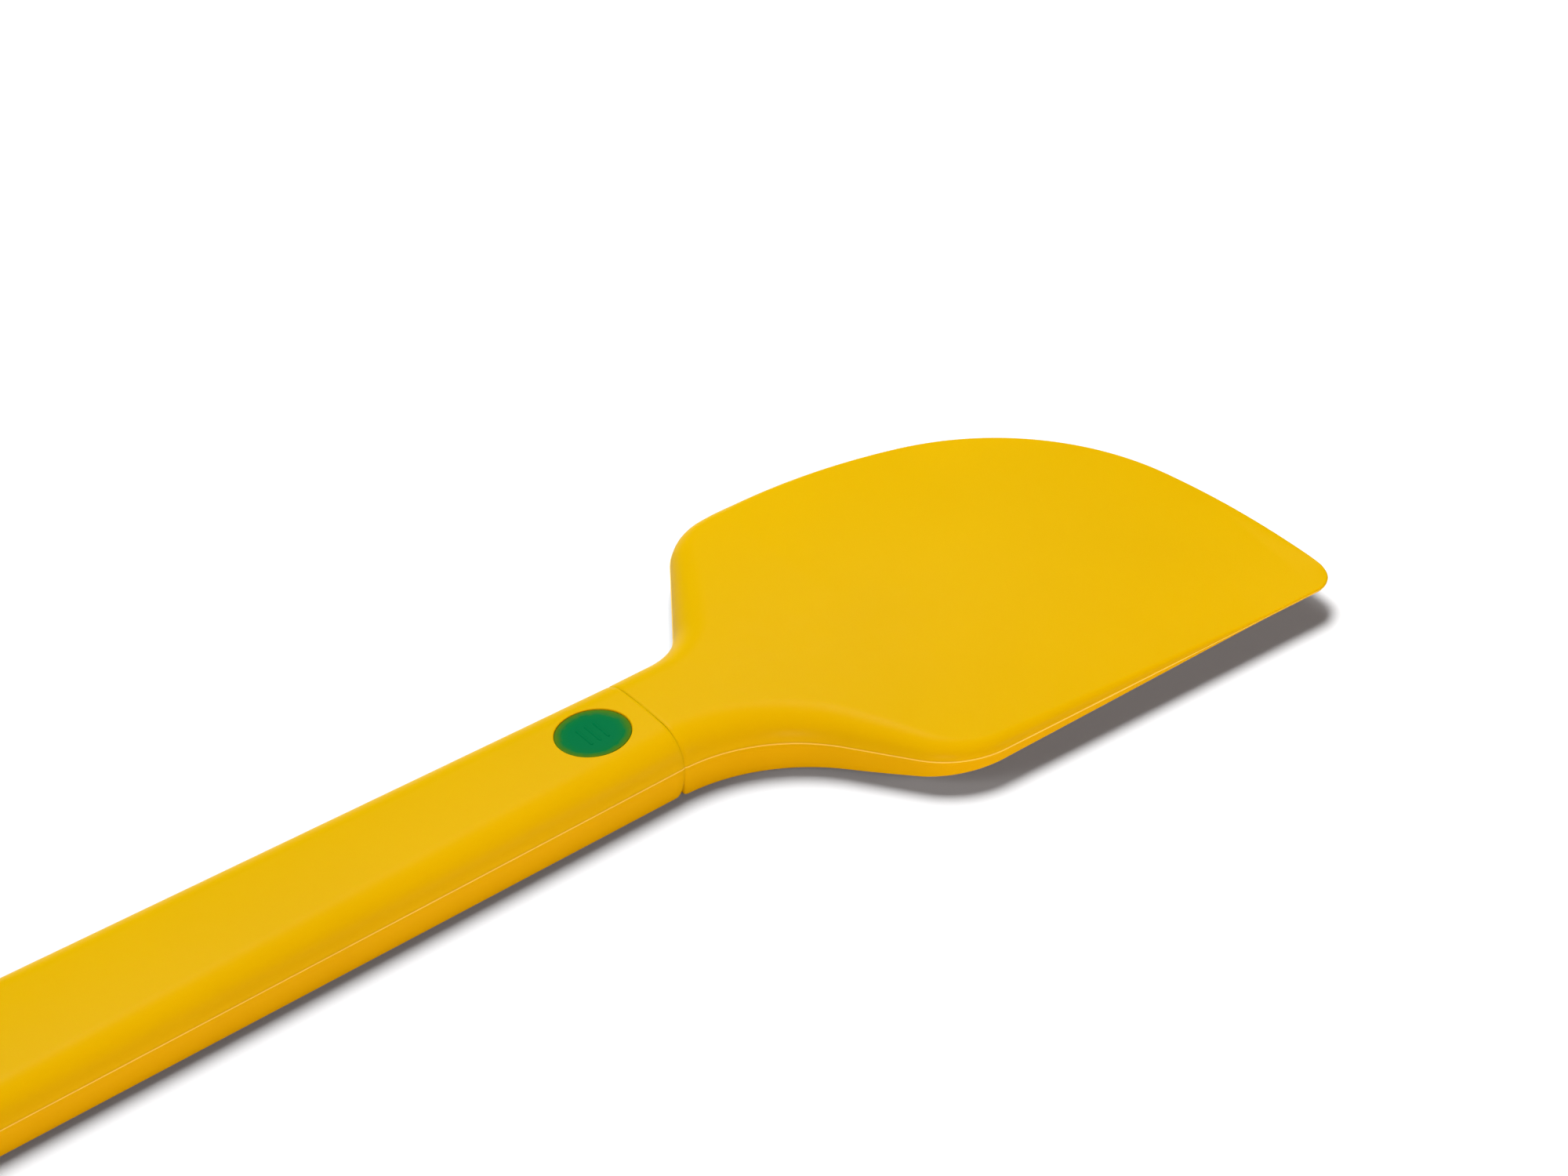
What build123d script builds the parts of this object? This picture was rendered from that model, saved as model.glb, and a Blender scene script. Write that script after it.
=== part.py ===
from build123d import *
from math import cos, radians, sin, tan
import os

os.makedirs("parts", exist_ok=True)

# One-plane silicone turner, lying on a table. Millimetres.
# X runs from the hang hole to the blade's tip, Y across, Z up from the table.
# The origin is on the hang hole's axis, at the flat underside.

# ---- driving dimensions: grip and neck ----
thickness = 12.9            # handle and neck, underside to crown
joint_x = 192.5             # hang hole to the joint between the grip and the head
joint_width = 24.3          # grip and neck width at the joint
grip_taper = 1.39           # degrees, each side of the grip, widening towards the hang hole
crown_rise = 0.5            # rise of the top face over its long edges
top_round = 6.4             # rounding of the grip's long top edges
base_round = 0.8            # rounding of the grip's bottom edges
joint_round = 0.6           # rounding of both mouldings where they meet, which makes the groove
hang_hole_r = 5.0
hang_hole_lip = 1.0         # rounding of the hang hole's upper mouth

# ---- driving dimensions: blade ----
neck_curve_r = 32.7         # concave side of the neck, on the long edge's side
far_neck_r = 14.0           # the same on the bowed edge's side, tighter and further ahead
flare_angle = 53.5          # degrees between the neck's axis and its straight flare
flare_straight = 13.3       # straight stretch between the two curves
shoulder_r = 18.1           # convex shoulder beside the long edge
far_shoulder_r = 15.0       # convex shoulder beside the bowed edge
blade_length = 125.5        # joint to the front edge
tip_r = 5.0                 # corner between the long edge and the front edge
front_r = 158.0             # front edge beside the tip
front_turn = 15.8           # degrees that it turns
bow_r = 52.2                # rounded far front of the blade
bow_turn = 58.4             # degrees that it turns
far_edge_r = 119.0          # long, gently bowed far edge
far_edge_turn = 30.0        # degrees, running on past the far shoulder
shoulder_half = 2.25        # half thickness of the blade's rim at the shoulders
rim_half = 0.35             # half thickness of the thin rim at the front
near_thinning = 60.0        # length over which the long edge thins to rim_half
far_thinning = 36.0         # the same for the bowed far edge
belly_power = 1.7           # how the blade's middle thins towards the front edge
side_power = 2.4            # how the neck and blade thin from the middle to the sides
round_share = 1.1           # width of the head's top rounding over its height
wall_margin = 0.15          # the shaped body stands out past the outline that trims it
front_margin = 0.06         # and further by this share of the way past the shoulder
flare_spans = 12            # sections from the joint to the shoulder
blade_spans = 6             # and on from there to the front

# ---- driving dimensions: stiffener, a bar in the grip and a leaf in the blade ----
bar_width = 13.0
bar_cover = 3.45            # silicone above and below the bar
eye_skin = 6.5              # silicone round the bar's eye at the hang-hole end
eye_lining = 2.6            # silicone between the hang hole and the eye's own hole
leaf_height = 2.0
leaf_width = 40.0
leaf_start = 40.0           # joint to the leaf's full width
leaf_reach = 84.0           # joint to the leaf's front
leaf_corner_r = 12.0
bond_hole_r = 2.0           # holes that the silicone flows through
bond_pitch = 27.0           # of the holes along the bar
bond_count = 6
bond_first = 28.0           # hang hole to the first of them
leaf_hole_pitch = 14.0      # of the holes in the leaf, both ways
leaf_hole_rows = 2          # along the leaf
leaf_hole_columns = 3       # across it

# ---- driving dimensions: badge ----
badge_back = 11.6           # joint to the badge's centre
badge_length = 15.0
badge_width = 12.7
badge_rim_depth = 0.9       # depth of the badge at its rim
badge_plug_inset = 2.4      # from the badge's outline to its deeper middle
badge_plug_depth = 1.2      # depth of the deeper middle below the rim
badge_sink = 0.3            # top of the badge below the crown of the grip
rib_height = 0.12           # plain ribs raised on the badge's top
rib_width = 0.7
rib_length = 5.0
rib_pitch = 1.9
rib_count = 3

# ---- derived places ----
mid_z = thickness / 2
bar_height = thickness - 2 * bar_cover
half_joint = joint_width / 2
end_r = half_joint + joint_x * tan(radians(grip_taper))
flare = radians(flare_angle)
half_blade = (
    half_joint
    + (neck_curve_r + shoulder_r) * (1 - cos(flare))
    + flare_straight * sin(flare)
)
shoulder_x = (neck_curve_r + shoulder_r) * sin(flare) + flare_straight * cos(flare)
far_lead_length = (neck_curve_r - far_neck_r) * tan(flare / 2)
tip_x = joint_x + blade_length
beyond = 2 * blade_length   # reaches past every edge

# ---- outline of the head ----
# Ahead of the joint and between the two flares; the far flare runs on past the blade.
with BuildSketch() as flared:
    with BuildLine():
        near_curve = JernArc((joint_x, -half_joint), (1, 0), neck_curve_r, -flare_angle)
        near_flare = Line(near_curve @ 1, (near_curve @ 1) + (near_curve % 1) * flare_straight)
        near_shoulder = JernArc(near_flare @ 1, near_flare % 1, shoulder_r, flare_angle)
        far_lead = Line((joint_x, half_joint), (joint_x + far_lead_length, half_joint))
        far_curve = JernArc(far_lead @ 1, far_lead % 1, far_neck_r, flare_angle)
        far_flare = Line(far_curve @ 1, (far_curve @ 1) + (far_curve % 1) * beyond)
        Polyline(near_shoulder @ 1, (joint_x + beyond, -half_blade), far_flare @ 1)
        Line(near_curve @ 0, far_lead @ 0)
    make_face()

# Behind the bowed front, which starts square to the long edge.
with BuildSketch() as bowed:
    with BuildLine():
        front = JernArc((tip_x, -half_blade), (0, 1), front_r, front_turn)
        bow = JernArc(front @ 1, front % 1, bow_r, bow_turn)
        far_edge = JernArc(bow @ 1, bow % 1, far_edge_r, far_edge_turn)
        back_y = (far_edge @ 1).Y
        back_x = joint_x - half_blade
        Polyline(far_edge @ 1, (back_x, back_y), (back_x, -half_blade), (tip_x, -half_blade))
    make_face()

with BuildSketch() as outline:
    add(flared.sketch)
    add(bowed.sketch, mode=Mode.INTERSECT)
    tip_corner = outline.vertices().sort_by(Axis.X)[-1]
    fillet(tip_corner, tip_r)
    far_corner = outline.vertices().sort_by(Axis.Y)[-1]
    fillet(far_corner, far_shoulder_r)


def chord(x):
    """The near and far Y of the head's outline, x past the joint."""
    line = Line((joint_x + x, -beyond), (joint_x + x, beyond))
    ys = sorted(v.Y for v in line.intersect(outline.sketch).vertices())
    return ys[0], ys[-1]


def belly(x):
    """Half thickness of the head's middle, x past the joint."""
    share = min(x, blade_length - tip_r) / blade_length
    return rim_half + (mid_z - rim_half) * (1 - share**belly_power)


def rim(x, y, thinning, joint_drop):
    """Half thickness of the head's rim: it falls with the flare, then with the distance."""
    if x > shoulder_x:
        left = max(0, 1 - (x - shoulder_x) / thinning)
        return rim_half + (shoulder_half - rim_half) * left
    bend = (belly(shoulder_x) - shoulder_half) / half_blade**side_power
    near_joint = 1 - x / shoulder_x
    side_fall = abs(y) ** side_power - half_joint**side_power * near_joint
    return belly(x) - joint_drop * near_joint - bend * side_fall


arc_pull = 0.5523            # puts a cubic curve on a quarter of an ellipse


def head_section(x, low_y, high_y):
    """One closed section across the head: rounded above, square-edged below."""
    low = low_y - wall_margin
    high = high_y + wall_margin + front_margin * max(0, x - shoulder_x)
    top = [rim(x, low_y, near_thinning, crown_rise), rim(x, high_y, far_thinning, crown_rise)]
    base = [rim(x, low_y, near_thinning, 0), rim(x, high_y, far_thinning, 0)]
    middle = (low + high) / 2
    near_width = top[0] * round_share
    far_width = top[1] * round_share
    with BuildSketch(Plane((joint_x + x, 0, mid_z), x_dir=(0, 1, 0), z_dir=(1, 0, 0))) as section:
        with BuildLine():
            near_top = (low + near_width, top[0])
            far_top = (high - far_width, top[1])
            near_pull = (low + (1 - arc_pull) * near_width, top[0])
            far_pull = (high - (1 - arc_pull) * far_width, top[1])
            Bezier((low, 0), (low, arc_pull * top[0]), near_pull, near_top)
            Bezier(near_top, (middle, 2 * belly(x) - sum(top) / 2), far_top)
            Bezier(far_top, far_pull, (high, arc_pull * top[1]), (high, 0))
            Line((high, 0), (high, -base[1]))
            Bezier((high, -base[1]), (middle, sum(base) / 2 - 2 * belly(x)), (low, -base[0]))
            Line((low, -base[0]), (low, 0))
        make_face()
    return section.sketch


# ---- stiffener: an eye, a bar and a leaf in one moulding ----
eye_r = end_r - eye_skin
with BuildPart() as core:
    with BuildSketch():
        Circle(eye_r)
        with Locations(((joint_x + leaf_start) / 2, 0)):
            Rectangle(joint_x + leaf_start, bar_width)
        with BuildLine():
            Polyline(
                (joint_x, -bar_width / 2),
                (joint_x + leaf_start, -leaf_width / 2),
                (joint_x + leaf_reach, -leaf_width / 2),
                (joint_x + leaf_reach, leaf_width / 2),
                (joint_x + leaf_start, leaf_width / 2),
                (joint_x, bar_width / 2),
                close=True,
            )
        make_face()
        Circle(hang_hole_r + eye_lining, mode=Mode.SUBTRACT)
    extrude(amount=thickness)
    front_corners = core.edges().filter_by(Axis.Z).group_by(Axis.X)[-1]
    fillet(front_corners, leaf_corner_r)
    with BuildSketch(Plane.XZ) as side:
        with BuildLine():
            Polyline(
                (-end_r, mid_z - bar_height / 2),
                (joint_x, mid_z - bar_height / 2),
                (joint_x + leaf_start, mid_z - leaf_height / 2),
                (tip_x, mid_z - leaf_height / 2),
                (tip_x, mid_z + leaf_height / 2),
                (joint_x + leaf_start, mid_z + leaf_height / 2),
                (joint_x, mid_z + bar_height / 2),
                (-end_r, mid_z + bar_height / 2),
                close=True,
            )
        make_face()
    extrude(amount=half_blade, both=True, mode=Mode.INTERSECT)
    bar_holes = [(bond_first + bond_pitch * i, 0, mid_z) for i in range(bond_count)]
    leaf_middle = (joint_x + (leaf_start + leaf_reach) / 2, 0, mid_z)
    leaf_grid = (leaf_hole_pitch, leaf_hole_pitch, leaf_hole_rows, leaf_hole_columns)
    with Locations(*bar_holes):
        Hole(bond_hole_r, depth=thickness)
    with Locations(leaf_middle), GridLocations(*leaf_grid):
        Hole(bond_hole_r, depth=thickness)
core.part.label = "core"
export_step(core.part, "parts/core.step")

# ---- badge: an oval, translucent insert with a deeper middle ----
badge_x = joint_x - badge_back
badge_z = thickness - badge_sink
with BuildPart() as badge:
    with BuildSketch(Plane((badge_x, 0, badge_z))):
        Ellipse(badge_length / 2, badge_width / 2)
    extrude(amount=-badge_rim_depth)
    with BuildSketch(Plane((badge_x, 0, badge_z - badge_rim_depth))):
        Ellipse(badge_length / 2 - badge_plug_inset, badge_width / 2 - badge_plug_inset)
    extrude(amount=-badge_plug_depth)
    with BuildSketch(Plane((badge_x, 0, badge_z))):
        with GridLocations(rib_pitch, 0, rib_count, 1):
            SlotOverall(rib_length, rib_width, rotation=90)
    extrude(amount=rib_height)
badge.part.label = "badge"
export_step(badge.part, "parts/badge.step")

# ---- grip: silicone moulded round the bar ----
taper = radians(grip_taper)
side_r = end_r * cos(taper)
crown_r = (half_joint**2 + crown_rise**2) / (2 * crown_rise)
with BuildPart() as grip:
    with BuildSketch():
        with BuildLine():
            near_end = (side_r * sin(taper), -side_r * cos(taper))
            far_end = (side_r * sin(taper), side_r * cos(taper))
            Polyline(near_end, (joint_x, -half_joint), (joint_x, half_joint), far_end)
            ThreePointArc(far_end, (-side_r, 0), near_end)
        make_face()
    extrude(amount=thickness)
    with BuildSketch(Plane.YZ.offset(-beyond)):
        with Locations((0, thickness - crown_r)):
            Circle(crown_r)
    extrude(amount=2 * beyond, mode=Mode.INTERSECT)
    base_edges = grip.edges().group_by(Axis.Z)[0].filter_by(Axis.Y, reverse=True)
    fillet(base_edges, base_round)
    joint_edges = grip.faces().sort_by(Axis.X)[-1].edges()
    top_edges = grip.faces().sort_by(Axis.Z)[-1].edges() - joint_edges
    fillet(top_edges, top_round)
    fillet(grip.faces().sort_by(Axis.X)[-1].edges(), joint_round)
    with Locations((0, 0, thickness)):
        Hole(hang_hole_r)
    across_edges = grip.edges().filter_by(Axis.Z, reverse=True)
    mouth = across_edges.sort_by_distance((0, 0, thickness))[0]
    fillet(mouth, hang_hole_lip)
    with BuildSketch(Plane((badge_x, 0, badge_z))):
        Ellipse(badge_length / 2, badge_width / 2)
    extrude(amount=thickness, mode=Mode.SUBTRACT)
    add(badge.part, mode=Mode.SUBTRACT)
    add(core.part, mode=Mode.SUBTRACT)
grip.part.label = "grip"
export_step(grip.part, "parts/grip.step")

# ---- head: silicone neck and blade moulded round the leaf ----
blade_span = (blade_length - tip_r - shoulder_x) / blade_spans
stations = [shoulder_x * i / flare_spans for i in range(flare_spans + 1)]
stations += [shoulder_x + blade_span * i for i in range(1, blade_spans + 1)]
sections = []
for x in stations:
    low_y, high_y = (-half_joint, half_joint) if x == 0 else chord(x)
    sections.append(head_section(x, low_y, high_y))
sections.append(head_section(blade_length + tip_r, -half_blade, -half_blade / 2))
with BuildPart() as blade_head:
    loft(sections)
    with BuildSketch():
        add(outline.sketch)
    extrude(amount=thickness, mode=Mode.INTERSECT)
    fillet(blade_head.faces().sort_by(Axis.X)[0].edges(), joint_round)
    add(core.part, mode=Mode.SUBTRACT)
blade_head.part.label = "blade_head"
export_step(blade_head.part, "parts/blade_head.step")
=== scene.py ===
import math

import bmesh
import bpy
import numpy as np
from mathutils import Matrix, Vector


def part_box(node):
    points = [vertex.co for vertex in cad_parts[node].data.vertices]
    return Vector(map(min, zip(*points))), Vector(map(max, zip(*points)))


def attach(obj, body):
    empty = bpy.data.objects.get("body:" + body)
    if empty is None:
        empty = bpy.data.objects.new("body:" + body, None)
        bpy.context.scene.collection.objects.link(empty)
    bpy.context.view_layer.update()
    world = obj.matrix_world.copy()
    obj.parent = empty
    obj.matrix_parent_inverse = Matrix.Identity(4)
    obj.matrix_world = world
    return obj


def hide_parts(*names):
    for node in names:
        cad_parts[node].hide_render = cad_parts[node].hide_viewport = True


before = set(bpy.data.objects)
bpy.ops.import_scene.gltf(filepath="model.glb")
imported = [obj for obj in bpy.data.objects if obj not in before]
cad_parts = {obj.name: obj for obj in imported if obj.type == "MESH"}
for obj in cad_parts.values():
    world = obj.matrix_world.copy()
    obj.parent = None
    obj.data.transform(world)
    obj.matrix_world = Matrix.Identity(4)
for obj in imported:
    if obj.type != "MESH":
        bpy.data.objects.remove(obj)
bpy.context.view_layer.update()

# The looks of a one-plane silicone turner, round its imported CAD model.
# Shapes are worked out in millimetres, from the joint between grip and head, and made in metres.
MM = 0.001

# ---- sizes read from the frame ----
grip_low, grip_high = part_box("grip")
head_low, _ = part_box("blade_head")
badge_low, badge_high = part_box("badge")
joint_x = head_low.x / MM
thickness = grip_high.z / MM
mid_z = thickness / 2
end_r = -grip_low.x / MM            # the hang-hole end is a half round about the origin
half_blade = -head_low.y / MM       # axis to the long straight edge

# ---- sizes of the head's outline ----
half_joint = 12.15
grip_taper = math.radians(1.39)
neck_curve_r = 32.7
far_neck_r = 14.0
flare_angle = math.radians(53.5)
flare_straight = 13.3
shoulder_r = 18.1
far_shoulder_r = 15.0
blade_length = 125.5
tip_r = 5.0
front_r, front_turn = 158.0, math.radians(15.8)
bow_r, bow_turn = 52.2, math.radians(58.4)
far_edge_r = 119.0
shoulder_x = (neck_curve_r + shoulder_r) * math.sin(flare_angle) + flare_straight * math.cos(flare_angle)

# ---- sizes of the section ----
crown_rise = 0.5                    # top face over its long edges, at the joint
shoulder_half = 2.25                # half thickness of the rim at the shoulders
rim_half = 0.35                     # and at the thin front
near_thinning, far_thinning = 60.0, 36.0
belly_power, side_power = 1.7, 2.4
top_round = 6.5                     # width of the rounding above the parting line
round_share = 1.1                   # the same on the head, as a share of its height there
base_share = 0.7                    # and at most this share for the bottom edges
base_round = 0.8                    # rounding of the grip's bottom edges
neck_base_round = 0.35              # rounding of the head's bottom edges
groove_half = 0.75                  # half width of the groove at the joint
groove_depth = 0.2
grip_corner_depth = 1.0             # further in at the grip's bottom corners beside it
corner_half = 2.0
corner_from = 0.35                  # where they start, as a share of the way to the bottom
flash_half = 0.14                   # half height of the parting line's fine ridge
flash_proud = 0.14                  # how far it stands out
flash_profile = ((1, 0), (0.8, 0.45), (0.25, 0.8), (0, 1))  # shares of the two, out and up
flash_rows = len(flash_profile) - 1
flash_full = 1.5                    # it is smaller where the edge is thinner than this
spine_reach = 112.0                 # the line down the head's middle that the mesh's rows end on
spine_lead = 3.0                    # stretch at the joint where it keeps step with the edges
spine_even = 0.15                   # share of the far edge's spacing in its own
spine_drop = -27.0                  # how far it turns to the long edge
spine_bend = 3.5                    # power of that turn, so that its end points at the tip
hang_hole_r = 5.0
hole_lip = 1.0
base_lip = 0.3
ring_lead = 1.5                     # the rows that end on the hole start this many lips beyond

# ---- how finely the mouldings are made ----
fine_step = 0.05                    # along the outlines
head_step = 0.55                    # between the head's columns
least_step = 0.2                    # where these follow on the columns beside the joint
grip_column_count = 400             # along half of the grip's outline
ease_step = 0.5                     # between the places that the eased rim is worked out at
ease_reach, ease_width = 12, 5      # of its smoothing, counted in such steps
rounding_steps = 16
top_steps, base_steps = 28, 16      # from the rounding to the inner line
lip_steps, hole_steps = 6, 8

# ---- sizes of the badge ----
badge_centre = (badge_low.x + badge_high.x) / 2 / MM - joint_x
badge_a = (badge_high.x - badge_low.x) / 2 / MM
badge_b = (badge_high.y - badge_low.y) / 2 / MM
pocket_lip = 0.25                   # rounding of the pocket's edge
pocket_depth = 1.6                  # below the crown
badge_gap = 0.07
rim_width = 1.2
field_dome = 0.12
rib_height, rib_width, rib_length, rib_pitch = 0.12, 0.7, 5.0, 1.9
rib_root = 0.2                      # how far the ribs reach into the badge
side_foot = 1.3                     # from the badge's lower face up to where its side starts
oval_lead = 0.8                     # the rows that end on the pocket start this far beyond it
oval_margin = 0.7                   # room between the rounding's own rows and the pocket
badge_columns = 128
field_steps, field_end = 19, 0.04   # rows over the field, and the last one's share of its size

# ---- colours, as linear light ----
silicone_deep = (0.60, 0.353, 0.0)
silicone_light = (0.62, 0.367, 0.0)
flash_painted_highlight_deep = (0.92, 0.58, 0.08)     # painted highlight: the parting line's thin ridge is coloured lighter, for the bright line of light along it
flash_painted_highlight_light = (0.96, 0.62, 0.10)
painted_shade_below_parting = (1.0, 0.92, 1.0)       # painted shade: below the parting line the silicone is multiplied to a deeper orange, for the dimmer, warmer light on the side walls
badge_teal = (0.0, 0.14, 0.042)
badge_mid = (0.002, 0.145, 0.034)
badge_olive = (0.04, 0.15, 0.010)
badge_edge = (0.09, 0.165, 0.004)

# ---- studio ----
ambient = 0.02
# each light: direction, distance, size, watts, colour
key_light = ((0.12, 0.36, 0.92), 1.3, 0.7, 22.2, (1.0, 1.0, 1.0))
back_light = ((0.493, 0.562, 0.664), 0.49, 0.12, 0.25, (1.0, 1.0, 1.0))
fill_light = ((-0.57, -0.82, 0.07), 1.6, 0.3, 16.5, (1.0, 0.76, 0.70))
front_light = ((0.5, -0.85, 0.2), 0.6, 0.2, 1.1, (1.0, 0.9, 0.85))
left_light = ((-0.9, 0.15, 0.42), 0.9, 0.4, 1.5, (1.0, 1.0, 1.0))
floor_reach = 6.0
camera_azimuth = math.radians(38.1)
camera_elevation = math.radians(39.79)
camera_lens = 1000
camera_distance = 7.866
aim_ahead, aim_aside = 45.2, 16.75  # the middle of the view, past the joint and beside the axis


# ---- plane curves of straight and circular runs that meet in a tangent ----
class Path:
    """Interior on its left. A run is (x, y, heading, length, bend)."""

    def __init__(self, x, y, heading):
        self.runs, self.x, self.y, self.heading = [], x, y, heading

    def add(self, length, bend=0.0):
        self.runs.append((self.x, self.y, self.heading, length, bend))
        self.x, self.y, self.heading = self.at(self.runs[-1], length)
        return self

    def arc(self, radius, turn):
        return self.add(radius * abs(turn), math.copysign(1 / radius, turn))

    @staticmethod
    def at(run, s):
        x, y, heading, _, bend = run
        if bend == 0:
            return x + s * math.cos(heading), y + s * math.sin(heading), heading
        new = heading + bend * s
        return (
            x + (math.sin(new) - math.sin(heading)) / bend,
            y - (math.cos(new) - math.cos(heading)) / bend,
            new,
        )

    def sample(self, step):
        """Rows of x, y and the inward normal, a step apart along the curve."""
        total = sum(run[3] for run in self.runs)
        out = []
        for s in np.linspace(0, total, round(total / step) + 1):
            for run in self.runs:
                if s <= run[3] or run is self.runs[-1]:
                    break
                s -= run[3]
            x, y, heading = self.at(run, min(s, run[3]))
            out.append((x, y, -math.sin(heading), math.cos(heading)))
        return np.array(out)


def head_path():
    """From the near side of the joint along the long edge, round the tip and back to the joint."""
    path = Path(0, -half_joint, 0)
    path.arc(neck_curve_r, -flare_angle).add(flare_straight).arc(shoulder_r, flare_angle)
    tip_turn = math.asin(tip_r / (front_r - tip_r))
    tip_centre = blade_length - front_r + (front_r - tip_r) * math.cos(tip_turn)
    path.add(tip_centre - path.x).arc(tip_r, math.pi / 2 + tip_turn)
    path.arc(front_r, front_turn - tip_turn).arc(bow_r, bow_turn)
    # the far shoulder's arc touches the bowed edge's arc and the far flare
    bowed_centre = np.array([path.x, path.y])
    bowed_centre += far_edge_r * np.array([-math.sin(path.heading), math.cos(path.heading)])
    along = np.array([math.cos(flare_angle), math.sin(flare_angle)])
    inward = np.array([along[1], -along[0]])
    lead = (neck_curve_r - far_neck_r) * math.tan(flare_angle / 2)
    foot = np.array([lead + far_neck_r * along[1], half_joint + far_neck_r * (1 - along[0])])
    gap = foot + far_shoulder_r * inward - bowed_centre
    reach = far_edge_r - far_shoulder_r
    run = -gap @ along + math.sqrt((gap @ along) ** 2 - gap @ gap + reach**2)
    outward = gap + run * along
    heading = math.atan2(outward[1], outward[0]) + math.pi / 2
    path.arc(far_edge_r, heading - path.heading)
    path.arc(far_shoulder_r, math.pi + flare_angle - heading)
    return path.add(run).arc(far_neck_r, -flare_angle).add(lead)


def grip_path():
    """From the far side of the joint back round the hang-hole end."""
    path = Path(0, half_joint, math.pi - grip_taper)
    side = (joint_x - end_r * math.sin(grip_taper)) / math.cos(grip_taper)
    return path.add(side).arc(end_r, math.pi + 2 * grip_taper).add(side)


def by_x(side, x):
    """A side's y and normals at places x, with x rising along the side."""
    return np.column_stack([x] + [np.interp(x, side[:, 0], side[:, i]) for i in (1, 2, 3)])


# places of the columns beside the joint, close together in the groove
near_joint = np.array([0, 0.02, 0.06, 0.12, 0.2, 0.3, 0.42, 0.55, 0.7, 0.9, 1.2, 1.6, 2.1])


# ---- height of the two faces over the parting plane ----
fine = head_path().sample(fine_step)
tip = int(np.argmax(fine[:, 0]))
near_side, far_side = fine[: tip + 1], fine[tip:][::-1]


def belly(x):
    share = np.clip(x, 0, blade_length - tip_r) / blade_length
    return rim_half + (mid_z - rim_half) * (1 - share**belly_power)


def rim(x, y, thinning, joint_drop):
    """Half thickness of the head's rim: it falls with the flare, then with the distance."""
    left = np.clip(1 - (x - shoulder_x) / thinning, 0, 1)
    along_blade = rim_half + (shoulder_half - rim_half) * left
    bend = (belly(shoulder_x) - shoulder_half) / half_blade**side_power
    near = np.clip(1 - x / shoulder_x, 0, 1)
    fall = np.abs(y) ** side_power - half_joint**side_power * near
    return np.where(x > shoulder_x, along_blade, belly(x) - joint_drop * near - bend * fall)


def eased(side, thinning, joint_drop):
    """The rim at evenly spaced places, with its bends smoothed over."""
    x = np.arange(0, side[-1, 0], ease_step)
    height = rim(x, np.interp(x, side[:, 0], side[:, 1]), thinning, joint_drop)
    reach = np.arange(-ease_reach, ease_reach + 1)
    weights = np.exp(-((reach / ease_width) ** 2))
    start = 2 * height[0] - height[ease_reach:0:-1]
    padded = np.concatenate([start, height, np.full(ease_reach, height[-1])])
    return x, np.convolve(padded, weights / weights.sum(), "valid")


rims = {
    drop: (eased(near_side, near_thinning, drop), eased(far_side, far_thinning, drop))
    for drop in (crown_rise, 0)
}


def head_height(x, y, top):
    """Half thickness of the head over the parting plane, before its edge is rounded."""
    near_rim, far_rim = rims[crown_rise if top else 0]
    low = np.interp(x, near_side[:, 0], near_side[:, 1])
    high = np.interp(x, far_side[:, 0], far_side[:, 1])
    across = np.clip((y - low) / np.maximum(high - low, 1e-6), 0, 1)
    low_rim, high_rim = np.interp(x, *near_rim), np.interp(x, *far_rim)
    middle = 2 * belly(x) - (low_rim + high_rim) / 2
    return (1 - across) ** 2 * low_rim + 2 * across * (1 - across) * middle + across**2 * high_rim


crown_r = (half_joint**2 + crown_rise**2) / (2 * crown_rise)


def grip_height(x, y, top):
    return mid_z - y**2 / (2 * crown_r) if top else mid_z + 0 * y


# ---- moulded bodies, made of rows that run in from the parting line ----
no_limit = 1000.0


class Body:
    def __init__(self):
        self.points, self.faces, self.count, self.ridge = [], [], 0, set()

    def rows(self, rows, closed=False, flip=False, ridge_rows=0):
        """Joins rows of points, each as long as the others, and returns where they start."""
        first, columns = self.count, len(rows[0])
        index = first + np.arange(len(rows) * columns).reshape(len(rows), columns)
        right = np.roll(index, -1, 1) if closed else index[:, 1:]
        left = index if closed else index[:, :-1]
        quads = np.stack([left[:-1], right[:-1], right[1:], left[1:]], -1).reshape(-1, 4)
        self.ridge.update(range(len(self.faces), len(self.faces) + ridge_rows * left.shape[1]))
        self.faces += (quads[:, ::-1] if flip else quads).tolist()
        self.points += rows
        self.count += index.size
        return index

    def fan(self, loop, hub):
        self.points.append(np.array([hub], float))
        self.faces += [[a, b, self.count] for a, b in zip(loop, loop[1:] + loop[:1])]
        self.count += 1

    def make(self, name, *materials, weld=0.002):
        points = np.concatenate(self.points) * MM
        mesh = bpy.data.meshes.new(name)
        mesh.from_pydata(points.tolist(), [], self.faces)
        # the ridge's faces take the second material, the lighter copy with the painted highlight
        for index in self.ridge:
            mesh.polygons[index].material_index = 1
        body = bmesh.new()
        body.from_mesh(mesh)
        bmesh.ops.remove_doubles(body, verts=body.verts, dist=weld * MM)
        bmesh.ops.recalc_face_normals(body, faces=body.faces)
        for face in body.faces:
            face.smooth = True
        body.to_mesh(mesh)
        body.free()
        for material in materials:
            mesh.materials.append(material)
        obj = bpy.data.objects.new(name, mesh)
        bpy.context.scene.collection.objects.link(obj)
        return obj


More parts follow.
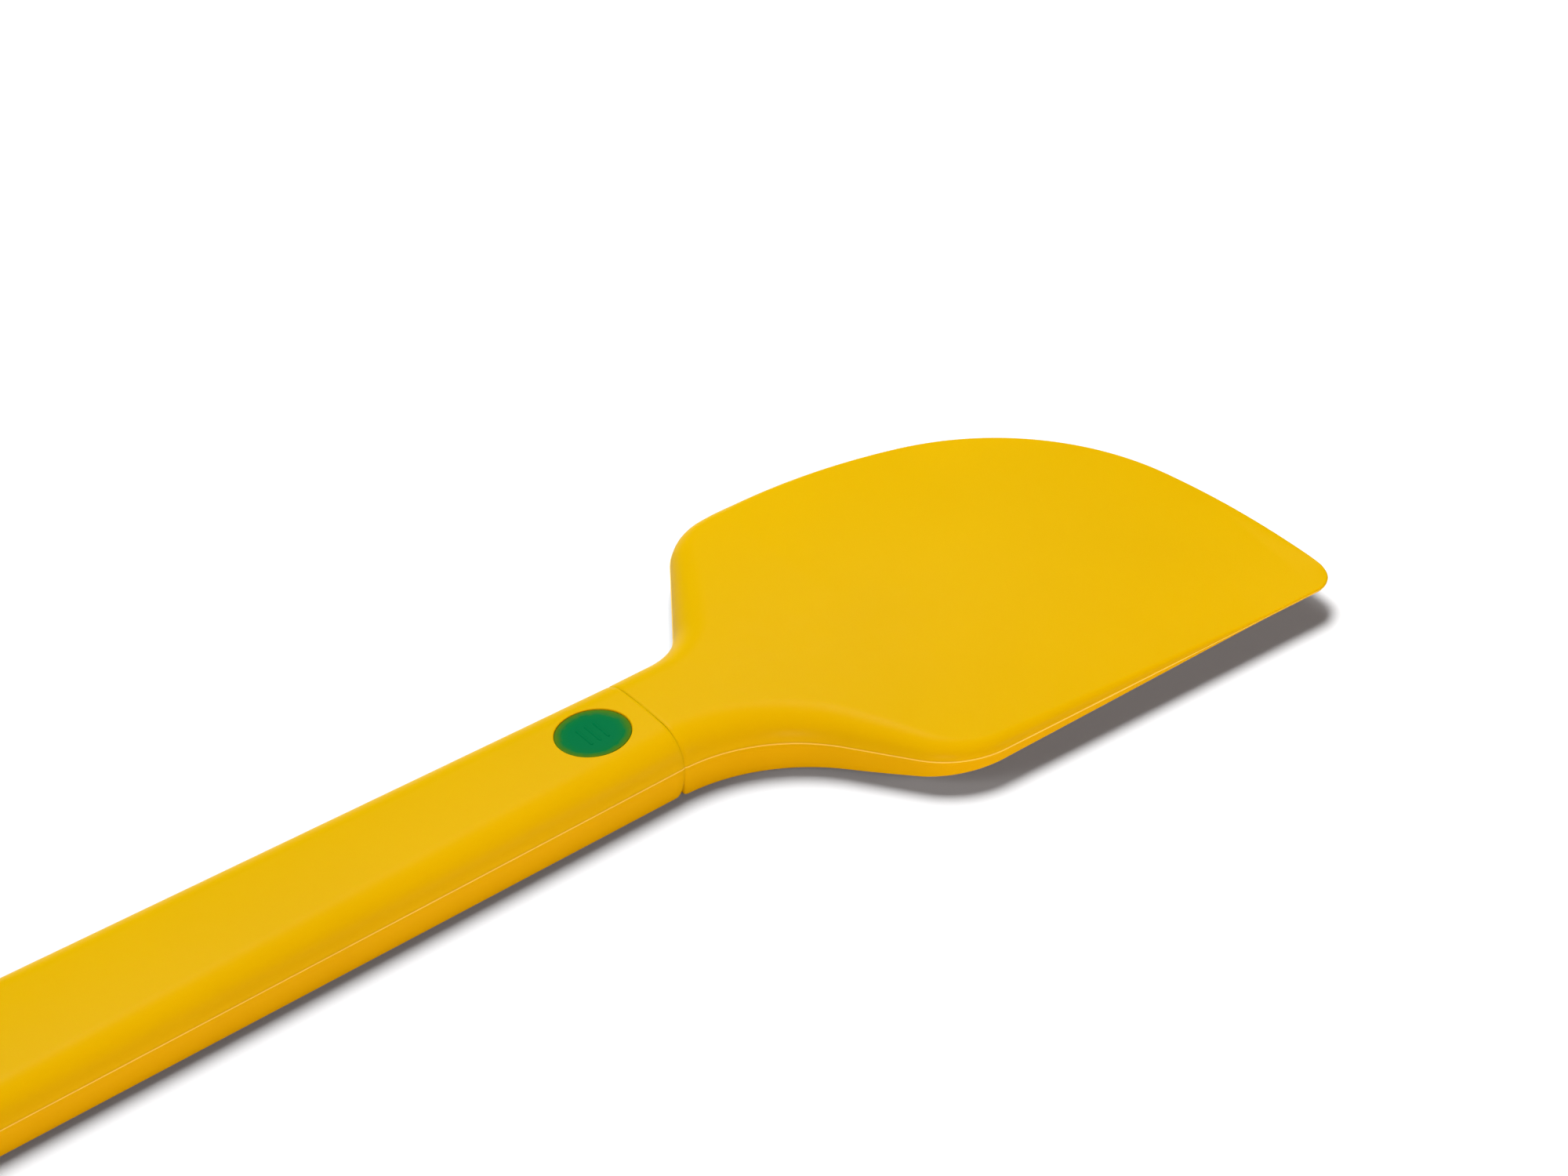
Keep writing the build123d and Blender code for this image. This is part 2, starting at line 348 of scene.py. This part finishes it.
def face_rows(edge, inner, height, top, widest, room=no_limit):
    """Rows over one face: the parting line's fine ridge, the wall, the rounding and the
    surface to the inner line. Heights are over the parting plane. The rounding's own rows
    end within the room there is, and its surface runs on."""
    x, y, nx, ny = edge.T
    tall = height(x, y, top)
    width = np.minimum(widest, (round_share if top else base_share) * tall)
    ridge = np.clip(tall / flash_full, 0, 1)
    high = flash_half * ridge
    side = 1 if top else -1
    rows = []

    def put(depth, z):
        rows.append(np.column_stack([x + nx * depth, y + ny * depth, z * side]))

    for out, up in flash_profile:
        put(-out * flash_proud * ridge, up * high)
    if top:
        first = np.arcsin(high / tall)
        full = np.arccos(1 - np.minimum(width, room) / width)
        for share in np.linspace(0, 1, rounding_steps + 1)[1:]:
            turn = first + (full - first) * share
            depth = width * (1 - np.cos(turn))
            put(depth, height(x + nx * depth, y + ny * depth, top) * np.sin(turn))
    else:
        for share in (0.25, 0.5, 0.75):
            put(0 * x, high + (tall - width - high) * share)
        for turn in np.linspace(0, math.pi / 2, lip_steps + 1):
            depth = width * (1 - math.cos(turn))
            level = height(x + nx * depth, y + ny * depth, top)
            put(depth, level - width * (1 - math.sin(turn)))
    last = rows[-1][:, :2]
    for share in np.linspace(0, 1, (top_steps if top else base_steps) + 1)[1:]:
        flat = last + (inner - last) * share
        level = height(flat[:, 0], flat[:, 1], top)
        if top:
            depth = (flat[:, 0] - x) * nx + (flat[:, 1] - y) * ny
            level = level * np.sqrt(1 - (1 - np.clip(depth / width, 0, 1)) ** 2)
        rows.append(np.column_stack([flat, level * side]))
    return rows


def settle(body, corner_depth):
    """Draws the sections in towards the joint, for the groove, which is deeper at the bottom
    corners by corner_depth, and puts the body in its place."""
    for rows in body.points:
        x = np.abs(rows[:, 0])
        low = np.clip((-rows[:, 2] / mid_z - corner_from) / (1 - corner_from), 0, 1)
        inset = groove_depth * np.clip(1 - x / groove_half, 0, 1) ** 2
        inset += corner_depth * (low * np.clip(1 - x / corner_half, 0, 1)) ** 2
        across = np.maximum(np.abs(rows[:, 1]), half_joint)
        rows[:, 1] *= 1 - inset / across
        rows[:, 2] *= 1 - inset / mid_z
        rows[:, 0] += joint_x
        rows[:, 2] += mid_z


def joint_end(body, top, base):
    """Closes the body's flat end between its first and last columns."""
    near_top, far_top = top[:, 0].tolist(), top[:, -1].tolist()
    near_base, far_base = base[:, 0].tolist(), base[:, -1].tolist()
    body.fan(near_base[::-1] + near_top[1:] + far_top[::-1][1:] + far_base[1:], (0, 0, 0))


def make_head(*materials):
    coarse = head_path().sample(head_step)
    bend = int(np.argmax(coarse[:, 0]))
    steep = coarse[bend:][::-1][:, 0]
    x = np.concatenate([near_joint, steep[steep > near_joint[-1] + least_step]])
    x[-1] = near_side[-1, 0]
    far = by_x(far_side, x)
    edge = np.vstack([by_x(near_side, x), far[::-1][1:]])
    edge[:, 2:] /= np.linalg.norm(edge[:, 2:], axis=1)[:, None]
    # the line that both sides' rows run in to, spaced mostly as x is and a little as the far
    # edge is, so that its places stay apart where that edge turns square to x
    run = np.concatenate([[0], np.cumsum(np.hypot(*np.diff(far[:, :2], axis=0).T))])
    even = (1 - spine_even) * x + spine_even * run
    place = even * np.interp(x, (0, spine_lead), (1, spine_reach / even[-1]))
    spine_x = np.concatenate([place, place[::-1][1:]])
    spine = np.column_stack([spine_x, spine_drop * (spine_x / spine_reach) ** spine_bend])
    body = Body()
    upper = face_rows(edge, spine, head_height, True, top_round)
    lower = face_rows(edge, spine, head_height, False, neck_base_round)
    top = body.rows(upper, ridge_rows=flash_rows)
    base = body.rows(lower, flip=True, ridge_rows=flash_rows)
    joint_end(body, top, base)
    settle(body, 0)
    return body.make("head", *materials)


def grip_columns():
    """The far half of the grip's outline with, for each place, where the rows end on the upper
    face and on the lower one. Then the first and last places whose rows end on the badge's
    pocket, and the first whose rows end on the hang hole."""
    half = grip_path().sample(fine_step)
    half = half[: len(half) // 2 + 1]
    run = np.concatenate([[0], np.cumsum(np.hypot(*np.diff(half[:, :2], axis=0).T))])
    places = np.concatenate([near_joint, np.linspace(near_joint[-1], run[-1], grip_column_count)[1:]])
    edge = np.column_stack([np.interp(places, run, half[:, i]) for i in range(4)])
    edge[-1, 1:] = 0, 1, 0
    x, back = edge[:, 0], -joint_x
    around = np.arctan2(edge[:, 1], x - back)
    before = x > back + hang_hole_r + ring_lead * hole_lip
    first = around[before][-1]
    turn = np.clip((around - first) / (math.pi - first), 0, 1) * math.pi
    lines = []
    for radius, oval in ((hang_hole_r + hole_lip, True), (hang_hole_r + base_lip, False)):
        start_x, ring_x = near_joint[-1], -x[before][-1]
        axis = np.interp(-x, (0, start_x, ring_x), (0, start_x, -back - radius))
        line = np.column_stack([-axis, 0 * x])
        ring = np.column_stack([back + radius * np.cos(turn), radius * np.sin(turn)])
        line = np.where(before[:, None], line, ring)
        if oval:
            a, b = badge_a + pocket_lip, badge_b + pocket_lip
            front, rear = badge_centre + a, badge_centre - a
            start, stop = front + oval_lead, rear - oval_lead
            on = (x <= start) & (x >= stop)
            first_on, last_on = np.flatnonzero(on)[[0, -1]]
            angle = np.interp(np.arange(len(x)), (first_on, last_on), (0, math.pi))
            loop = np.column_stack([badge_centre + a * np.cos(angle), b * np.sin(angle)])
            line = np.where(on[:, None], loop, line)
            ahead = x > start
            line[ahead, 0] = np.interp(-x[ahead], (0, start_x, -x[first_on]), (0, -start_x, front))
            after = (x < stop) & before
            line[after, 0] = np.interp(-x[after], (-x[last_on], ring_x), (rear, back + radius))
            oval_columns = (first_on, last_on)
        lines.append(line)
    return edge, lines[0], lines[1], oval_columns, int(np.flatnonzero(~before)[0])


def both_sides(line):
    """The far half's places and then the near half's, mirrored, with the end place once."""
    mirrored = line[::-1][1:].copy()
    mirrored[:, 1] *= -1
    if line.shape[1] == 4:
        mirrored[:, 3] *= -1
    return np.vstack([line, mirrored])


def make_grip(*materials):
    edge, line_top, line_base, (on, off), ring = grip_columns()
    count = len(edge)
    edge, line_top, line_base = map(both_sides, (edge, line_top, line_base))
    body = Body()
    ahead = (edge[:, 0] - badge_centre) / (badge_a + pocket_lip)
    oval = (badge_b + pocket_lip) * np.sqrt(np.clip(1 - ahead**2, 0, 1))
    room = np.where(oval > 0, np.abs(edge[:, 1]) - oval - oval_margin, no_limit)
    upper = face_rows(edge, line_top, grip_height, True, top_round, room)
    lower = face_rows(edge, line_base, grip_height, False, base_round)
    top = body.rows(upper, ridge_rows=flash_rows)
    base = body.rows(lower, flip=True, ridge_rows=flash_rows)
    joint_end(body, top, base)

    def around(first, last):
        """Columns of a closed ring: the far half's, then the near half's between its ends."""
        twin = 2 * (count - 1)
        return np.r_[first : last + 1, twin - last + 1 : twin - first]

    # pocket for the badge
    lip = upper[-1][around(on, off)]
    offset = (lip[:, :2] - (badge_centre, 0)) / (badge_a + pocket_lip, badge_b + pocket_lip)
    rows = []
    for turn in np.linspace(0, math.pi / 2, lip_steps + 1):
        out = pocket_lip * (1 - math.sin(turn))
        flat = offset * (badge_a + out, badge_b + out) + (badge_centre, 0)
        rows.append(np.column_stack([flat, lip[:, 2] - pocket_lip * (1 - math.cos(turn))]))
    bottom = rows[-1].copy()
    bottom[:, 2] = mid_z - pocket_depth
    pocket = body.rows([*rows, bottom], closed=True)
    body.fan(pocket[-1].tolist(), (badge_centre, 0, mid_z - pocket_depth))

    # hang hole
    hole = upper[-1][around(ring - 1, count - 1)]
    spokes = (hole[:, :2] - (-joint_x, 0)) / (hang_hole_r + hole_lip)
    rows = []
    for side, level, lip_r in ((1, hole[:, 2], hole_lip), (-1, 0 * hole[:, 2] - mid_z, base_lip)):
        turns = np.linspace(0, math.pi / 2, hole_steps + 1)
        for turn in turns if side > 0 else turns[::-1]:
            flat = spokes * (hang_hole_r + lip_r * (1 - math.sin(turn))) + (-joint_x, 0)
            rows.append(np.column_stack([flat, level - side * lip_r * (1 - math.cos(turn))]))
    body.rows(rows, closed=True)
    settle(body, grip_corner_depth)
    return body.make("handle", *materials)


def make_badge(material):
    """An oval insert: a rounded rim, a slightly lower domed field and three ribs on it."""
    top_z = badge_high.z / MM - rib_height
    a, b = badge_a - badge_gap, badge_b - badge_gap
    angle = np.linspace(0, 2 * math.pi, badge_columns + 1)[:-1]
    spokes = np.column_stack([np.cos(angle), np.sin(angle)])
    centre = (badge_centre + joint_x, 0)
    # how far in, and how high over the rim's top: side, rounded edge, rim, step to the field
    profile = [(0, badge_low.z / MM - top_z + side_foot), (0, -0.16), (0.04, -0.07)]
    profile += [(0.12, -0.015), (0.24, 0), (rim_width - 0.3, 0), (rim_width - 0.12, -0.02)]
    profile += [(rim_width, -0.07), (rim_width + 0.1, -0.11), (rim_width + 0.25, -0.12)]
    rows = []
    for inset, z in profile:
        flat = spokes * (a - inset, b - inset) + centre
        rows.append(np.column_stack([flat, np.full(len(flat), top_z + z)]))
    inset, z = profile[-1]
    for share in np.linspace(1, field_end, field_steps + 1)[1:]:
        flat = spokes * (a - inset, b - inset) * share + centre
        dome = z + field_dome * (1 - share**2)
        rows.append(np.column_stack([flat, np.full(len(flat), top_z + dome)]))
    body = Body()
    ring = body.rows(rows, closed=True)
    body.fan(ring[-1].tolist(), (*centre, top_z + z + field_dome))
    body.fan(ring[0].tolist()[::-1], (*centre, top_z + profile[0][1]))
    # ribs: rounded bars across the badge
    half_straight = (rib_length - rib_width) / 2
    for place in (-rib_pitch, 0, rib_pitch):
        outline = spokes[:, ::-1] * rib_width / 2
        outline[:, 1] += np.sign(np.round(outline[:, 1], 6)) * half_straight
        rows = []
        for turn in np.linspace(0, math.pi / 2, lip_steps + 1)[:-1]:
            shrink = rib_width / 2 * (1 - math.cos(turn))
            long = outline - np.column_stack(
                [outline[:, 0] * 2 * shrink / rib_width, np.sign(outline[:, 1]) * shrink]
            )
            level = top_z - rib_root + (rib_root + rib_height) * math.sin(turn)
            rows.append(np.column_stack([long + centre + (place, 0), np.full(len(long), level)]))
        ring = body.rows(rows, closed=True)
        body.fan(ring[-1].tolist(), (centre[0] + place, 0, top_z + rib_height))
        body.fan(ring[0].tolist()[::-1], (centre[0] + place, 0, top_z - rib_root))
    return body.make("badge_oval", material, weld=0.0005)


# ---- materials ----
class Nodes:
    """A material's node tree, with short calls for making and joining nodes."""

    def __init__(self, name):
        self.material = bpy.data.materials.new(name)
        self.material.use_nodes = True
        self.tree = self.material.node_tree
        self.shader = self.tree.nodes["Principled BSDF"]
        self.place = self.node("ShaderNodeTexCoord").outputs["Object"]

    def node(self, kind, **values):
        made = self.tree.nodes.new(kind)
        for key, value in values.items():
            setattr(made, key, value)
        return made

    def link(self, out, into):
        self.tree.links.new(out, into)

    def noise(self, scale, detail=3.0, rough=0.5, place=None):
        made = self.node("ShaderNodeTexNoise")
        made.inputs["Scale"].default_value = scale
        made.inputs["Detail"].default_value = detail
        made.inputs["Roughness"].default_value = rough
        self.link(place or self.place, made.inputs["Vector"])
        return made.outputs["Fac"]

    def ramp(self, value, stops):
        made = self.node("ShaderNodeValToRGB")
        elements = made.color_ramp.elements
        for element, (position, color) in zip(elements, (stops[0], stops[-1])):
            element.position, element.color = position, (*color, 1)
        for position, color in stops[1:-1]:
            elements.new(position).color = (*color, 1)
        self.link(value, made.inputs["Fac"])
        return made.outputs["Color"]

    def math(self, operation, a, b):
        made = self.node("ShaderNodeMath", operation=operation)
        for socket, value in zip(made.inputs, (a, b)):
            if isinstance(value, (int, float)):
                socket.default_value = value
            else:
                self.link(value, socket)
        return made.outputs[0]

    def spread(self, value, low, high):
        """A noise value stretched between two numbers."""
        made = self.node("ShaderNodeMapRange")
        for name, number in (("From Min", 0.3), ("From Max", 0.7), ("To Min", low), ("To Max", high)):
            made.inputs[name].default_value = number
        self.link(value, made.inputs["Value"])
        return made.outputs[0]

    def below(self, level, blur):
        """1 under a height of the object, 0 over it."""
        parts = self.node("ShaderNodeSeparateXYZ")
        self.link(self.place, parts.inputs["Vector"])
        made = self.node("ShaderNodeMapRange")
        for name, number in (("From Min", level - blur), ("From Max", level), ("To Min", 1), ("To Max", 0)):
            made.inputs[name].default_value = number
        self.link(parts.outputs["Z"], made.inputs["Value"])
        return made.outputs[0]

    def tint(self, color, share, tone):
        """The colour multiplied by a tone, by a share from 0 to 1."""
        made = self.node("ShaderNodeMix", data_type="RGBA", blend_type="MULTIPLY")
        self.link(share, made.inputs["Factor"])
        # the node has sockets for every type of value, so its colours are found by number
        self.link(color, made.inputs[6])
        made.inputs[7].default_value = (*tone, 1)
        return made.outputs[2]

    def bump(self, height, distance, strength=1.0, normal=None):
        made = self.node("ShaderNodeBump")
        made.inputs["Distance"].default_value = distance
        made.inputs["Strength"].default_value = strength
        self.link(height, made.inputs["Height"])
        if normal:
            self.link(normal, made.inputs["Normal"])
        return made.outputs["Normal"]

    def put(self, **values):
        for name, value in values.items():
            socket = self.shader.inputs[name.replace("_", " ")]
            if isinstance(value, (int, float, tuple)):
                socket.default_value = value
            else:
                self.link(value, socket)
        return self.material


def silicone_material(name, deep, light):
    """Satin moulded silicone: an even yellow with faint clouds, a fine grain and a soft swirl, with painted
    shade making it deeper below the parting line.
    """
    make = Nodes(name)
    clouds = make.noise(22, 2)
    color = make.ramp(clouds, [(0.35, deep), (0.65, light)])
    # painted shade: the lower moulding half, below the parting line, is darkened to a deeper orange
    color = make.tint(color, make.below(mid_z * MM, 0.0003), painted_shade_below_parting)
    grain = make.noise(2600, 2, 0.6)
    swirl = make.noise(260, 3)
    normal = make.bump(swirl, 0.00004)
    normal = make.bump(grain, 0.00002, 0.8, normal)
    rough = make.math("ADD", make.spread(swirl, 0.31, 0.37), make.spread(grain, 0.0, 0.06))
    return make.put(
        Base_Color=color,
        Roughness=rough,
        Normal=normal,
        Subsurface_Weight=0.08,
        Subsurface_Radius=(1.0, 0.45, 0.08),
        Subsurface_Scale=0.0025,
        IOR=1.41,
        Specular_IOR_Level=0.025,
    )


def badge_material():
    """Translucent tinted insert: deep teal over the thick middle, paler olive at the thin rim."""
    make = Nodes("badge_green")
    centre = make.node("ShaderNodeMapping")
    centre.vector_type = "TEXTURE"
    centre.inputs["Location"].default_value = ((badge_centre + joint_x) * MM, 0, thickness * MM)
    centre.inputs["Scale"].default_value = (badge_a * MM, badge_b * MM, 1)
    make.link(make.place, centre.inputs["Vector"])
    length = make.node("ShaderNodeVectorMath", operation="LENGTH")
    make.link(centre.outputs["Vector"], length.inputs[0])
    mottle = make.spread(make.noise(700, 3), -0.03, 0.03)
    out = make.math("ADD", length.outputs["Value"], mottle)
    color = make.ramp(
        out, [(0.0, badge_teal), (0.6, badge_teal), (0.78, badge_mid), (0.9, badge_olive), (1.0, badge_edge)]
    )
    rough = make.spread(make.noise(1500, 2), 0.34, 0.44)
    normal = make.bump(make.noise(500, 2), 0.00003)
    return make.put(
        Base_Color=color, Roughness=rough, Normal=normal, Specular_IOR_Level=0.01, IOR=1.5
    )


def core_material():
    """Glass-filled nylon: dark grey with fine flecks."""
    make = Nodes("core_nylon")
    flecks = make.noise(3000, 4, 0.7)
    color = make.ramp(flecks, [(0.45, (0.022, 0.022, 0.024)), (0.68, (0.06, 0.06, 0.062))])
    rough = make.spread(flecks, 0.5, 0.7)
    return make.put(Base_Color=color, Roughness=rough, Normal=make.bump(flecks, 0.00003))


def floor_material():
    make = Nodes("floor_pale")
    color = make.ramp(make.noise(6, 2), [(0.3, (0.86, 0.865, 0.87)), (0.7, (0.88, 0.885, 0.89))])
    rough = make.spread(make.noise(300, 2), 0.75, 0.85)
    return make.put(Base_Color=color, Roughness=rough, Specular_IOR_Level=0.1)


# ---- the object ----
silicone = silicone_material("silicone_yellow", silicone_deep, silicone_light)
# a lighter copy of the silicone for the parting line's ridge: a painted highlight
flash = silicone_material("silicone_flash_painted_highlight", flash_painted_highlight_deep, flash_painted_highlight_light)
handle = make_grip(silicone, flash)
head = make_head(silicone, flash)
badge = make_badge(badge_material())
for piece, node, slot in (
    (handle, "grip", "yellow_silicone"),
    (head, "blade_head", "yellow_silicone"),
    (badge, "badge", "green_badge"),
):
    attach(piece, "root")
    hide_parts(node)
    piece.visible_diffuse = False   # the studio's shadows stay grey, with no yellow on the floor
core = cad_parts["core"]
core.data.materials.clear()
core.data.materials.append(core_material())

# ---- floor, light and camera ----
scene = bpy.context.scene
scene.view_settings.view_transform = "Standard"
floor_mesh = bpy.data.meshes.new("floor")
floor_mesh.from_pydata(
    [(x * floor_reach, y * floor_reach, 0) for x, y in ((-1, -1), (1, -1), (1, 1), (-1, 1))],
    [],
    [(0, 1, 2, 3)],
)
floor_mesh.materials.append(floor_material())
floor = bpy.data.objects.new("floor", floor_mesh)
scene.collection.objects.link(floor)

world = bpy.data.worlds.new("studio")
scene.world = world
world.use_nodes = True
world.node_tree.nodes["Background"].inputs["Color"].default_value = (1, 1, 1, 1)
world.node_tree.nodes["Background"].inputs["Strength"].default_value = ambient

aim = Vector((joint_x + aim_ahead, aim_aside, mid_z)) * MM


def soft_light(name, toward, distance, size, power, color):
    light = bpy.data.lights.new(name, "AREA")
    light.color = color
    light.shape, light.size, light.energy = "DISK", size, power
    obj = bpy.data.objects.new(name, light)
    direction = Vector(toward).normalized()
    obj.location = aim + direction * distance
    obj.rotation_euler = (-direction).to_track_quat("-Z", "Y").to_euler()
    scene.collection.objects.link(obj)


soft_light("key", *key_light)
soft_light("back", *back_light)
soft_light("fill", *fill_light)
soft_light("front", *front_light)
soft_light("left", *left_light)

camera_data = bpy.data.cameras.new("camera")
camera_data.lens = camera_lens
camera = bpy.data.objects.new("camera", camera_data)
forward = Vector(
    (
        math.sin(camera_azimuth) * math.cos(camera_elevation),
        math.cos(camera_azimuth) * math.cos(camera_elevation),
        -math.sin(camera_elevation),
    )
)
camera.location = aim - forward * camera_distance
camera.rotation_euler = forward.to_track_quat("-Z", "Y").to_euler()
scene.collection.objects.link(camera)
scene.camera = camera
